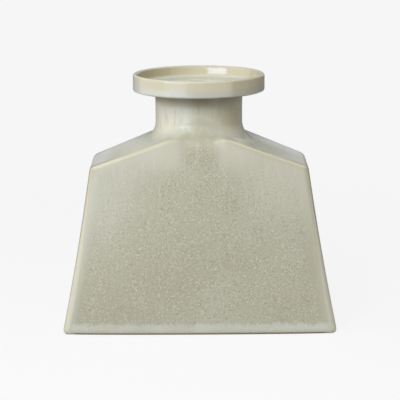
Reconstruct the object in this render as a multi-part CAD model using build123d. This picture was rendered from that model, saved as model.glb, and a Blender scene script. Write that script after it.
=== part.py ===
from build123d import *
import os
from math import atan, atan2, cos, hypot, radians, sin, sqrt, tan

os.makedirs("parts", exist_ok=True)

# Stoneware flask vase: slab walls, a thrown neck on a saddle foot and a dished rim.
# Millimetres, +Z up, origin on the standing plane under the middle of the neck, front face towards -Y.

# Overall
height = 240.0

# Body, seen from the front
base_width = 258.0
shoulder_width = 203.0
shoulder_drop = 83.15
shoulder_slope = 21.2
side_hollow = 1.2
foot_corner_radius = 4.5
shoulder_edge_radius = 4.0
crest_radius = 100.0

# Body, seen from above
base_depth = 102.0
base_bow = 2.5
shoulder_depth = 76.5
neck_ledge = 11.8
arris_radius = 3.0

# Slabs
wall = 5.0
base_thickness = 6.0
seam_coil = 6.0

# Foot
foot_land = 9.0
foot_recess = 1.5
foot_recess_radius = 4.0

# Neck
neck_waist_diameter = 81.4
neck_flare = 0.6
neck_wall = 4.7
neck_blend = 7.5
saddle_reach = 9.0
throat_flare = 3.0
throat_flare_height = 10.0

# Rim dish
dish_diameter = 123.5
dish_height = 16.0
dish_floor = 5.5
dish_edge_radius = 2.0
dish_cove_radius = 3.0
mouth_edge_radius = 2.0
lip_thickness = 4.0
lip_draft = 2.4

# Cutting tools run past the clay by this much, and points this close count as the same place
overrun = 8.0
same_place = 0.01

# Worked out from the sizes above
shoulder_height = height - shoulder_drop
side_lean = atan((base_width - shoulder_width) / 2 / shoulder_height)
slope = radians(shoulder_slope)
apex_height = shoulder_height + shoulder_width / 2 * tan(slope)
crest_height = apex_height - crest_radius * (1 / cos(slope) - 1)
waist_radius = neck_waist_diameter / 2
mouth_radius = waist_radius - neck_wall
crest_half_depth = waist_radius + neck_ledge
dish_underside = height - dish_height
neck_rise = dish_underside - crest_height
blend_radius = min(neck_blend, neck_ledge - arris_radius - same_place, neck_rise / 3)
reach = base_width + overrun


def gable_points(inset, floor):
    """Foot, shoulder break and apex on the right of the front outline, set in by a wall's thickness."""
    foot_reach = base_width / 2 - inset / cos(side_lean)
    apex = apex_height - inset / cos(slope)
    break_x = (foot_reach - apex * tan(side_lean)) / (1 - tan(side_lean) * tan(slope))
    break_z = apex - break_x * tan(slope)
    return (foot_reach - floor * tan(side_lean), floor), (break_x, break_z), (0, apex)


def gable_block(inset, floor, foot_radius, break_radius):
    """The front outline with its hollow sides and rounded corners, drawn out through the depth."""
    foot, shoulder, apex = gable_points(inset, floor)
    middle = (
        (foot[0] + shoulder[0]) / 2 - side_hollow * cos(side_lean),
        (foot[1] + shoulder[1]) / 2 - side_hollow * sin(side_lean),
    )
    right_side = ThreePointArc(foot, middle, shoulder)
    left_side = mirror(right_side, Plane.YZ)
    right_top = Line(shoulder, apex)
    left_top = mirror(right_top, Plane.YZ)
    bottom = Line((-foot[0], floor), foot)
    outline = make_face([bottom, right_side, right_top, left_top, left_side])

    def corners(point):
        return [v for v in outline.vertices() if hypot(abs(v.X) - point[0], v.Y - point[1]) < same_place]

    for point, radius in ((foot, foot_radius), (shoulder, break_radius), (apex, crest_radius - inset)):
        if radius > same_place:
            outline = fillet(corners(point), radius)
    return extrude(Plane.XZ * outline, amount=crest_half_depth + overrun, both=True)


def plan_face(level, half_width, middle_depth, end_depth, past_ends):
    """A plan of the body: bowed front and back, straight ends, carried on past the ends if asked."""
    bow = middle_depth - end_depth
    bow_radius = (half_width**2 + bow**2) / (2 * bow)
    tip = half_width + past_ends
    tip_depth = middle_depth - bow_radius + sqrt(bow_radius**2 - tip**2)
    front = ThreePointArc((-tip, -tip_depth), (0, -middle_depth), (tip, -tip_depth))
    back = ThreePointArc((tip, tip_depth), (0, middle_depth), (-tip, tip_depth))
    ends = [Line(front @ 1, back @ 0), Line(back @ 1, front @ 0)]
    return Pos(0, 0, level) * make_face([front, back] + ends)


def pillow_section(level, inset, past_ends):
    """The plan at one height: nearly straight at the base, well bowed at the shoulders."""
    rise = level / shoulder_height
    half_width = base_width / 2 + (shoulder_width - base_width) / 2 * rise
    middle_depth = base_depth / 2 + (crest_half_depth - base_depth / 2) * rise
    base_end = base_depth / 2 - base_bow
    end_depth = base_end + (shoulder_depth / 2 - base_end) * rise
    return plan_face(level, half_width, middle_depth - inset, end_depth - inset, past_ends)


def pillow_block(inset):
    """The space between the bowed front and back faces, from below the foot to above the neck."""
    low = pillow_section(-overrun, inset, overrun)
    high = pillow_section(height, inset, overrun)
    return loft([low, high], ruled=True)


def band(low, high):
    """Everything between two levels."""
    return Pos(0, 0, (low + high) / 2) * Box(reach, reach, high - low)


def tube(radius, low, high):
    """A round bar on the neck's axis between two levels."""
    return Pos(0, 0, (low + high) / 2) * Cylinder(radius, high - low)


def half(direction):
    """Everything on one side of the middle, towards a direction in plan."""
    shift = Vector(*direction) * (reach / 2)
    return Pos(shift.X, shift.Y, height / 2) * Box(reach, reach, height + overrun)


def shoulder_mitre(side):
    """The plane of the joint between a side wall and its shoulder, facing up and inwards."""
    outer = gable_points(0, 0)[1]
    inner = gable_points(wall, 0)[1]
    through = Vector(side * (inner[0] - outer[0]), 0, inner[1] - outer[1])
    across = Vector(0, side, 0)
    return Plane(origin=(side * outer[0], 0, outer[1]), x_dir=across, z_dir=across.cross(through))


def vase_form():
    """The outside of body and neck in one: pillowed gable body, soft arrises, neck blended in."""
    body = gable_block(0, 0, foot_corner_radius, shoulder_edge_radius) & pillow_block(0)
    faces = body.faces().sort_by(Axis.Y)
    body = fillet(faces[0].edges() + faces[-1].edges(), arris_radius)
    low = (waist_radius, shoulder_height)
    start = (waist_radius, crest_height + neck_rise / 2)
    top = (waist_radius + neck_flare, dish_underside)
    flank = TangentArc(start, top, tangent=(0, 1))
    edge = [Line((0, low[1]), low), Line(low, start), flank, Line(top, (0, top[1])), Line((0, top[1]), (0, low[1]))]
    form = body + revolve(Plane.XZ * make_face(edge), axis=Axis.Z)

    def at_neck_root(curve):
        points = [curve @ share for share in (0, 0.5, 1)]
        on_neck = all(abs(hypot(p.X, p.Y) - waist_radius) < same_place for p in points)
        return on_neck and points[1].Z < crest_height + same_place

    return fillet(form.edges().filter_by(at_neck_root), blend_radius)


def throat():
    """The bore of the neck, flared out where it opens into the body."""
    flare_radius = mouth_radius + throat_flare
    flare_foot = crest_height - throat_flare_height
    straight = tube(mouth_radius, flare_foot, dish_underside + overrun)
    flare = Pos(0, 0, crest_height - throat_flare_height / 2) * Cone(flare_radius, mouth_radius, throat_flare_height)
    return straight + flare + tube(flare_radius, shoulder_height, flare_foot)


def seam_coils(cavity):
    """Soft clay pressed into the inside seams: round the floor, up the corners, under the gables."""
    faces = cavity.faces().sort_by(Axis.Y)
    floor_edges = cavity.faces().sort_by(Axis.Z)[0].edges()
    edges = dict.fromkeys(faces[0].edges() + faces[-1].edges() + floor_edges)

    def turn(edge):
        middle = edge.center(CenterOf.BOUNDING_BOX)
        return round(atan2(middle.Y, middle.X), 3)

    # One after another round the neck's axis: a chamfer depends on the order of its edges
    seams = ShapeList(sorted(edges, key=turn, reverse=True))
    lining = cavity - chamfer(seams, seam_coil) - throat()
    floor_top = base_thickness + seam_coil
    coils = {"floor_coil": lining & band(0, floor_top)}
    upper = lining & band(floor_top, height)
    for face, facing in (("front", -1), ("back", 1)):
        run = upper & half((0, facing))
        for end, side in (("left", -1), ("right", 1)):
            corner = split(run & half((side, 0)), bisect_by=shoulder_mitre(side), keep=Keep.BOTTOM)
            coils[f"{face}_{end}_coil"] = corner
            run = run - corner
        coils[f"{face}_gable_coil"] = run
    return coils


def rim_dish():
    """The saucer that caps the neck: flat floor round the mouth, wall thinned upwards, full round lip."""
    outer = dish_diameter / 2
    inner = outer - lip_thickness
    wall_foot = inner - lip_draft
    floor = dish_underside + dish_floor
    profile = Polyline(
        (mouth_radius, dish_underside),
        (outer, dish_underside),
        (outer, height),
        (inner, height),
        (wall_foot, floor),
        (mouth_radius, floor),
        close=True,
    )
    section = make_face(profile)

    def corner(x, z):
        return [v for v in section.vertices() if hypot(v.X - x, v.Y - z) < same_place]

    section = fillet(corner(outer, dish_underside), dish_edge_radius)
    section = fillet(corner(wall_foot, floor), dish_cove_radius)
    section = fillet(corner(mouth_radius, floor), mouth_edge_radius)
    lip_radius = lip_thickness / 2 - same_place
    section = fillet(corner(outer, height) + corner(inner, height), lip_radius)
    return revolve(Plane.XZ * section, axis=Axis.Z)


def base_slab(form):
    """The floor of the vase, hollowed a little underneath so that it stands on a bare rim."""
    section = plan_face(
        0,
        base_width / 2 - foot_land,
        base_depth / 2 - foot_land,
        base_depth / 2 - base_bow - foot_land,
        0,
    )
    section = fillet(section.vertices(), foot_recess_radius)
    return (form & band(0, base_thickness)) - extrude(section, amount=foot_recess)


def vase_pieces():
    """Every piece of clay under its own name."""
    form = vase_form()
    inside = pillow_block(wall)
    hollow = gable_block(wall, base_thickness, 0, 0)
    cavity = hollow & inside
    upper = form & band(base_thickness, height + overrun)
    pieces = {"base_slab": base_slab(form)}
    for face, facing in (("front", -1), ("back", 1)):
        pieces[f"{face}_wall"] = (upper & half((0, facing))) - inside
    ring = (upper & inside) - hollow - throat()
    saddle = tube(waist_radius + saddle_reach, base_thickness, height)
    for end, side in (("left", -1), ("right", 1)):
        flank = (ring & half((side, 0))) - saddle
        pieces[f"{end}_wall"] = split(flank, bisect_by=shoulder_mitre(side), keep=Keep.BOTTOM)
        pieces[f"{end}_shoulder"] = split(flank, bisect_by=shoulder_mitre(side), keep=Keep.TOP)
    pieces["neck"] = ring & saddle
    pieces["rim_dish"] = rim_dish()
    return pieces | seam_coils(cavity)


for name, piece in vase_pieces().items():
    piece.label = name
    export_step(piece, f"parts/{name}.step")
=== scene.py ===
from math import acos, asin, atan2, copysign, cos, hypot, pi, radians, sin, sqrt, tan

import bmesh
import bpy
from bpy.props import FloatProperty, FloatVectorProperty, PointerProperty
from mathutils import Matrix, Vector


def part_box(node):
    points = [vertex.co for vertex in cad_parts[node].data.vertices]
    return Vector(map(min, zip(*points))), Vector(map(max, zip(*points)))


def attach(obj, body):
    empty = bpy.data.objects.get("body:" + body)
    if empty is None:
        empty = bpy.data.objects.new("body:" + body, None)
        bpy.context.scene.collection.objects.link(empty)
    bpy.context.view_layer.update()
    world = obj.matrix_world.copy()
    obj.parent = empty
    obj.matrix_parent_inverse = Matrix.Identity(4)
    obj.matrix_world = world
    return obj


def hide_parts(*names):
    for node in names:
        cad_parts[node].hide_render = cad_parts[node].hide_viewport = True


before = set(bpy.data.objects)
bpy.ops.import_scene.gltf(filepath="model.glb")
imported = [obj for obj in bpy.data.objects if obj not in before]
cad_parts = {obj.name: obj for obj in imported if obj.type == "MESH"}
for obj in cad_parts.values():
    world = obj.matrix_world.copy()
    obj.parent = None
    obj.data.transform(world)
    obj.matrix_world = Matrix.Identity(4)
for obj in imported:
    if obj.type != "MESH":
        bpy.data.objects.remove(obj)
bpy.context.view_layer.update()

bl_info = {
    "name": "Stoneware flask vase",
    "version": (1, 0, 0),
    "blender": (4, 5, 0),
    "location": "3D View > Sidebar > Vase",
    "description": "Builds a glazed slab vase with a pillowed body, a round neck and a dished rim",
    "category": "Add Mesh",
}

MILLIMETRE = 0.001
SAME_PLACE = 0.02 * MILLIMETRE
BODY = "root"
FORM_NAME = "body_form"
PIECES = (
    "base_slab",
    "front_wall",
    "back_wall",
    "left_wall",
    "right_wall",
    "left_shoulder",
    "right_shoulder",
    "neck",
)
COILS = (
    "floor_coil",
    "front_left_coil",
    "front_right_coil",
    "back_left_coil",
    "back_right_coil",
    "front_gable_coil",
    "back_gable_coil",
)


# Sizes and colours that a user may change

def length(name, description, millimetres):
    """A length, written in millimetres."""
    default = millimetres * MILLIMETRE
    return FloatProperty(name=name, description=description, default=default, min=0.0, unit="LENGTH")


def angle(name, description, degrees):
    """An angle, written in degrees."""
    return FloatProperty(name=name, description=description, default=radians(degrees), subtype="ANGLE")


def share(name, description, default):
    """A part of a whole."""
    return FloatProperty(
        name=name, description=description, default=default, min=0.0, max=1.0, subtype="FACTOR"
    )


def power(name, description, watts):
    """A lamp's power, written in watts."""
    return FloatProperty(name=name, description=description, default=watts, min=0.0, unit="POWER")


def light_level(value):
    """A screen value from 0 to 255 as an amount of light, by the usual screen curve."""
    level = value / 255
    return level / 12.92 if level <= 0.04045 else ((level + 0.055) / 1.055) ** 2.4


def colour(name, description, red, green, blue):
    """A colour, written in screen values from 0 to 255."""
    default = [light_level(value) for value in (red, green, blue)]
    return FloatVectorProperty(
        name=name, description=description, default=default, size=3, min=0.0, max=1.0, subtype="COLOR"
    )


class VaseBodySizes(bpy.types.PropertyGroup):
    """The slab-built body."""

    base_width: length("Base width", "Width of the body on the standing plane", 258)
    shoulder_width: length("Shoulder width", "Width of the body at the shoulder breaks", 203)
    shoulder_height: length("Shoulder height", "Height of the shoulder breaks", 156.85)
    shoulder_slope: angle("Shoulder slope", "Slope of the roof that rises to the neck", 21.2)
    crest_radius: length("Crest radius", "Rounding of the roof's ridge under the neck", 100)
    side_hollow: length("Side hollow", "How far the side walls curve in at half height", 1.2)
    base_depth: length("Base depth", "Depth of the body at the middle of the base", 102)
    base_bow: length("Base bow", "How far each face swells in front of its ends at the base", 2.5)
    shoulder_depth: length("Shoulder depth", "Depth of the body at the shoulder breaks", 76.5)
    crest_depth: length("Crest depth", "Depth of the body in the middle, at shoulder height", 105)
    wall: length("Wall", "Thickness of the slabs", 5)
    base_thickness: length("Base thickness", "Thickness of the floor slab", 6)
    foot_land: length("Foot land", "Width of the bare rim that the vase stands on", 9)
    foot_recess: length("Foot recess", "Depth of the hollow under the foot", 1.5)
    corner_rounding: length("Corner rounding", "Rounding of the upright arrises", 6)
    arris_rounding: length("Arris rounding", "Rounding of the arrises along the gables", 3.2)
    break_rounding: length("Break rounding", "Rounding of the shoulder breaks", 3.2)
    foot_rounding: length("Foot rounding", "Rounding of the bottom edge in front and behind", 2.5)
    foot_corner: length("Foot corner", "Rounding of the bottom edge at the sides", 5.5)
    recess_rounding: length("Recess rounding", "Rounding of the recess's corners in plan", 4)


class VaseNeckSizes(bpy.types.PropertyGroup):
    """The thrown neck."""

    waist_diameter: length("Waist diameter", "Diameter of the neck at its waist", 81.4)
    flare: length("Flare", "How far the neck widens towards the rim", 0.6)
    wall: length("Wall", "Thickness of the neck", 4.7)
    blend: length("Blend", "Hollow curve where the neck meets the roof, in front and behind", 7.4)
    side_blend: length("Side blend", "Hollow curve where the neck meets the roof at the sides", 15)


class VaseRimSizes(bpy.types.PropertyGroup):
    """The dished rim on the neck."""

    floor: length("Floor", "Thickness of the dish's floor", 5.5)
    lip: length("Lip", "Thickness of the upright wall at its lip", 4)
    draft: length("Draft", "How much thicker the upright wall is at its foot", 2.4)
    edge_rounding: length("Edge rounding", "Rounding of the lower outer edge", 2)
    cove: length("Cove", "Hollow curve between floor and wall", 3)
    mouth_rounding: length("Mouth rounding", "Rounding of the floor's edge at the mouth", 2)


class VaseGlazeColours(bpy.types.PropertyGroup):
    """The reactive glaze and the bare clay."""

    field: colour("Field", "The glaze over the flat faces", 178, 176, 157)
    # Painted shade: darker low on the faces, towards the right, and in the middle of the crest.
    shaded_field: colour("Deep field", "The glaze low on the faces", 163, 161, 138)
    # Also painted light at the upper corners of the faces, more on the right.
    pale_cloud_and_corner_light: colour("Light field", "Paler cloud in the glaze", 193, 191, 174)
    neck: colour("Neck", "The thinner glaze on the neck", 200, 197, 178)
    crest_light: colour("Crest light", "Pale glaze on either side of the crest", 206, 204, 188)
    # Painted highlight on the left of the neck.
    neck_painted_light: colour("Neck light", "Thick pale glaze on the left of the neck", 211, 210, 195)
    # Painted shade: under the rim, low on the neck's right, and on the rim's right side.
    shade: colour("Shade", "Brown where the glaze is thinnest, under the rim", 136, 118, 82)
    # Also painted light: along the foot, on the back of the right shoulder and low on the rim's left.
    pool: colour("Pool", "Milky blue-grey where the glaze runs thick", 198, 201, 191)
    speckle: colour("Speckle", "Fine pale crystals in the glaze", 206, 205, 187)
    pit: colour("Pit", "Darker points between the crystals", 158, 156, 136)
    # Also a painted highlight round the rim's lip.
    arris: colour("Arris", "Cream where the glaze breaks thin on an edge", 201, 198, 180)
    # Also painted shade on the right half of the neck.
    tan: colour("Tan", "Warm clay that shows through beside an edge", 188, 182, 151)
    rim_cream: colour("Rim cream", "Warm cream on the upper rim", 194, 188, 161)
    rim_inside: colour("Rim inside", "Straw glaze on the inside wall of the rim", 194, 187, 159)
    end_pale: colour("End pale", "Thick glaze at the outer ends of the shoulders", 218, 222, 214)
    # Painted shade on the front of the right shoulder.
    right_roof_shade: colour("Roof olive", "Thin glaze on the front of the right shoulder", 123, 119, 72)
    rim_milk: colour("Rim milk", "Milky glaze low on the rim", 182, 183, 169)
    # Also painted light on the far left of the rim's outside.
    dish: colour("Dish", "Pooled glaze on the floor of the rim", 200, 200, 186)
    # Painted shade on the inside wall of the rim, on the left.
    rim_shade: colour("Rim shade", "Thin brown glaze inside the rim on the left", 168, 158, 124)
    # Also painted shade on the sides, just behind the upright edges.
    clay: colour("Clay", "Bare fired clay under the foot", 150, 141, 120)
    inside: colour("Inside", "The glaze inside the body", 176, 170, 146)
    speckle_size: length("Speckle size", "Distance from one crystal to the next", 1.25)
    arris_width: length("Arris width", "Reach of the thin cream glaze on either side of an edge", 1.7)
    tan_width: length("Tan width", "Reach of the warm clay on either side of an edge", 5)
    spread: FloatProperty(
        name="Spread", description="How much wider an upright edge is at the foot", default=4.6, min=1.0
    )
    pool_width: length("Pool width", "Reach of the milky band on either side of an edge", 13)


class VaseStageSettings(bpy.types.PropertyGroup):
    """Camera, lamps and floor."""

    camera_distance: length("Camera distance", "How far in front of the neck the camera stands", 1694.3)
    camera_height: length("Camera height", "Height of the camera above the floor", 455.4)
    camera_aside: length("Camera aside", "How far to the right the camera stands", 0.65)
    camera_pitch: angle("Camera pitch", "How far the camera looks down", 11.237)
    camera_roll: angle("Camera roll", "How far the camera leans", -0.3)
    lens: FloatProperty(name="Lens", description="Focal length in millimetres", default=163.7, min=1.0)
    background: colour("Background", "Floor and backdrop as the camera sees them", 246, 246, 246)
    paper: colour("Paper", "The floor near the vase, before its shadow", 249, 249, 249)
    surround: share("Surround", "Even light from all sides", 0.26)
    key_power: power("Key power", "Power of the lamp above the camera", 31)
    panel_power: power("Panel power", "Power of the panel on the left", 11)
    fill_power: power("Fill power", "Power of the panel on the right", 5.0)
    softbox_power: power("Softbox power", "Power of the softbox beside the camera", 4.5)


# Short ways to work in the 3D view

def clear_selection():
    """Goes to object mode with nothing selected."""
    if bpy.context.mode != "OBJECT":
        bpy.ops.object.mode_set(mode="OBJECT")
    bpy.ops.object.select_all(action="DESELECT")


def pick(*objects):
    """Selects only these objects and makes the first one active."""
    clear_selection()
    for item in objects:
        item.select_set(True)
    bpy.context.view_layer.objects.active = objects[0]


def start_selecting(kind):
    """Sets what edit mode selects, with nothing selected yet."""
    bpy.ops.mesh.select_mode(type=kind)
    bpy.ops.mesh.select_all(action="DESELECT")


def edit(item, kind):
    """Opens one object in edit mode with nothing selected."""
    pick(item)
    bpy.ops.object.mode_set(mode="EDIT")
    start_selecting(kind)


def close_edit():
    """Goes back to object mode."""
    bpy.ops.object.mode_set(mode="OBJECT")


def select_where(item, kind, test):
    """Adds the vertices, edges or faces that pass a test to the selection."""
    mesh = bmesh.from_edit_mesh(item.data)
    for element in getattr(mesh, kind):
        if test(element):
            element.select_set(True)
    mesh.select_flush_mode()
    bmesh.update_edit_mesh(item.data)


def apply_modifier(item, kind, **settings):
    """Adds a modifier to an object and applies it."""
    pick(item)
    modifier = item.modifiers.new(kind.title(), kind)
    for name, value in settings.items():
        setattr(modifier, name, value)
    bpy.ops.object.modifier_apply(modifier=modifier.name)


# The lines of the body

ARRIS_STEPS = 12


class BodyLines:
    """The body's faces, roof and neck, worked out from the sizes."""

    def __init__(self, scene):
        self.body = scene.vase_body
        self.neck = scene.vase_neck
        self.tangent = tan(self.body.shoulder_slope)
        self.apex = self.body.shoulder_height + self.body.shoulder_width / 2 * self.tangent
        lift = 1 / cos(self.body.shoulder_slope) - 1
        self.crest = self.apex - self.body.crest_radius * lift
        self.waist = self.neck.waist_diameter / 2
        self.neck_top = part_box("rim_dish")[0].z

    def roof(self, x):
        """Height of the roof at a distance from the middle."""
        radius = self.body.crest_radius
        if abs(x) > radius * sin(self.body.shoulder_slope):
            return self.apex - abs(x) * self.tangent
        return self.crest - radius + sqrt(radius**2 - x**2)

    def half_width(self, level):
        """Half the width between straight sides at a height."""
        rise = level / self.body.shoulder_height
        return (self.body.base_width + (self.body.shoulder_width - self.body.base_width) * rise) / 2

    def half_depths(self, level):
        """Half the depth in the middle and at the ends, at a height."""
        rise = level / self.body.shoulder_height
        base = self.body.base_depth / 2
        middle = base + (self.body.crest_depth / 2 - base) * rise
        base_end = base - self.body.base_bow
        end = base_end + (self.body.shoulder_depth / 2 - base_end) * rise
        return middle, end

    def face_depth(self, across, level):
        """How far in front of the middle the swollen face lies."""
        middle, end = self.half_depths(level)
        return middle - (middle - end) * (across / self.half_width(level)) ** 2

    def behind_face(self, place):
        """How far a place lies behind the swollen front or back face."""
        return self.face_depth(place.x, place.z) - abs(place.y)

    def point(self, column, level, inset=0.0):
        """A point of the skin on one of its upright columns."""
        face, part = column
        rise = min(level / self.body.shoulder_height, 1)
        hollow = self.body.side_hollow * 4 * rise * (1 - rise)
        reach = self.half_width(level) - hollow - inset
        middle, end = self.half_depths(level)
        if face in ("front", "back"):
            place = Vector((part * reach, inset - middle + (middle - end) * part**2, level))
        else:
            place = Vector((reach, part * (end - inset), level))
        if face in ("back", "left"):
            place.x, place.y = -place.x, -place.y
        return place

    def arris_level(self, column):
        """The height at which a column meets the roof, found closer step by step."""
        level = self.body.shoulder_height
        for step in range(ARRIS_STEPS):
            level = self.roof(self.point(column, level).x)
        return level

    def blend_towards(self, place):
        """Reach of the hollow curve at the neck's foot in the direction of a place, wider at the sides."""
        sideways = abs(place.x) / hypot(place.x, place.y)
        return self.neck.blend + (self.neck.side_blend - self.neck.blend) * sideways**2

    def round_neck(self, place, radius, level):
        """The point of a neck ring that lies in the direction of a place."""
        turn = atan2(place.y, place.x)
        return Vector((radius * cos(turn), radius * sin(turn), level))


# How finely the skin is divided

FACE_COLUMNS = 61
FACE_FIRST_SHARE = 0.075
END_COLUMNS = 15
END_FIRST_SHARE = 0.19
WALL_ROWS = 25
TOP_ROW_SHARE = 0.03
ROW_CROWDING = 1.5
NECK_ROWS = 5
BEVEL_SEGMENTS = 8


def even_steps(low, high, count):
    """Numbers at even steps, both ends included."""
    return [low + (high - low) * step / (count - 1) for step in range(count)]


def skin_columns():
    """The upright columns of the skin in order, as a face and a part of the way along it."""
    columns = []
    for face in ("front", "right", "back", "left"):
        across = face in ("front", "back")
        first = FACE_FIRST_SHARE if across else END_FIRST_SHARE
        parts = even_steps(first - 1, 1 - first, FACE_COLUMNS if across else END_COLUMNS)
        columns.append((face, -1.0))
        columns.extend((face, part) for part in parts)
    return columns


def skin_rings(lines, columns):
    """The rings of the skin from the hollow under the foot to the top of the neck."""
    body = lines.body
    land = [lines.point(column, 0, body.foot_land) for column in columns]
    ceiling = [place + Vector((0, 0, body.foot_recess)) for place in land]
    rings = [("recess", ceiling), ("land", land)]
    rings.append(("foot", [lines.point(column, 0) for column in columns]))
    levels = [lines.arris_level(column) for column in columns]
    floor = body.base_thickness
    for step in even_steps(0, 1, WALL_ROWS):
        row = (1 - TOP_ROW_SHARE) * (1 - (1 - step) ** ROW_CROWDING)
        heights = [floor + (top - floor) * row for top in levels]
        rings.append(("wall", [lines.point(column, height) for column, height in zip(columns, heights)]))
    arris = [lines.point(column, top) for column, top in zip(columns, levels)]
    rings.append(("arris", arris))
    root = [lines.round_neck(place, lines.waist, 0) for place in arris]
    for place in root:
        place.z = lines.roof(place.x)
    rings.append(("root", root))
    straight = (lines.crest + lines.neck_top) / 2
    for part in even_steps(0, 1, NECK_ROWS):
        level = straight + (lines.neck_top - straight) * part
        radius = lines.waist + lines.neck.flare * part**2
        rings.append(("neck", [lines.round_neck(place, radius, level) for place in arris]))
    return rings


def lay_ring(item, number, places):
    """Moves the selected ring of vertices to its places."""
    mesh = bmesh.from_edit_mesh(item.data)
    column = mesh.verts.layers.int["column"]
    ring = mesh.verts.layers.int["ring"]
    for vertex in mesh.verts:
        if vertex.select:
            vertex.co = places[vertex[column]]
            vertex[ring] = number
    bmesh.update_edit_mesh(item.data)


def edge_softness(lines, names, columns, edge, ring, column):
    """How far an edge of the skin is rounded: its bevel's reach on either side."""
    body = lines.body
    first, second = edge.verts
    name = names[first[ring]]
    if first[ring] == second[ring]:
        ends = [columns[vertex[column]] for vertex in (first, second)]
        side = any(face in ("left", "right") and abs(part) < 1 for face, part in ends)
        if name == "foot":
            return body.foot_corner if side else body.foot_rounding
        if name == "root":
            return lines.blend_towards((first.co + second.co) / 2)
        if name == "arris":
            return body.break_rounding if side else body.arris_rounding
        return 0.0
    if abs(columns[first[column]][1]) < 1 or first[column] != second[column]:
        return 0.0
    pair = {name, names[second[ring]]}
    if pair <= {"foot", "wall", "arris"}:
        return body.corner_rounding
    if pair == {"recess", "land"}:
        return body.recess_rounding
    return 0.0


def piece_of(lines, centre, normal):
    """The piece of clay that a face of the skin belongs to, by its place and direction."""
    body = lines.body
    if centre.z < body.base_thickness:
        return "base_slab"
    reach = hypot(centre.x, centre.y)
    near_neck = reach < lines.waist + lines.blend_towards(centre) + SAME_PLACE
    if near_neck and centre.z > body.shoulder_height:
        return "neck"
    ledge = abs(centre.x) < lines.waist / 2
    rounding = body.arris_rounding if ledge else body.corner_rounding
    if lines.behind_face(centre) < rounding + SAME_PLACE:
        return "front_wall" if centre.y < 0 else "back_wall"
    if ledge or reach < lines.waist + lines.neck.blend + body.arris_rounding:
        return "neck"
    side_rise = (body.base_width - body.shoulder_width) / 2 / body.shoulder_height
    side = Vector((1, 0, side_rise)).normalized()
    roof = Vector((lines.tangent, 0, 1)).normalized()
    mitre = (side + roof).normalized()
    end = "left" if centre.x < 0 else "right"
    return f"{end}_shoulder" if normal.z > mitre.z else f"{end}_wall"


# The crest in front of and behind the neck

CREST_ROUNDING = 20 * MILLIMETRE
CREST_SINK = 3 * MILLIMETRE
CREST_FULL = 8 * MILLIMETRE
CREST_END = 28 * MILLIMETRE


def double_curve(lines, place):
    """Where a point near the crest goes to lie on a soft double curve from the face up to the neck."""
    across = place.x
    middle = lines.roof(across) - CREST_SINK
    neck = sqrt(max(lines.waist**2 - across**2, 0))
    ledge = lines.face_depth(across, middle) - neck
    turn = acos(1 - ledge / (2 * CREST_ROUNDING))
    rise = 2 * CREST_ROUNDING * sin(turn)
    start = middle - rise / 2
    inward = lines.face_depth(across, min(place.z, middle)) - abs(place.y)
    way = place.z - start + inward
    if way <= 0 or way >= rise + ledge:
        return place
    upper = way > (rise + ledge) / 2
    part = rise + ledge - way if upper else way
    bend = pi / 4 + asin((part / CREST_ROUNDING - 1) / sqrt(2))
    up = CREST_ROUNDING * sin(bend)
    back = CREST_ROUNDING * (1 - cos(bend))
    if upper:
        up = rise - up
        back = ledge - back
    level = start + up
    depth = lines.face_depth(across, min(level, middle)) - back
    return Vector((across, copysign(depth, place.y), level))


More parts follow.
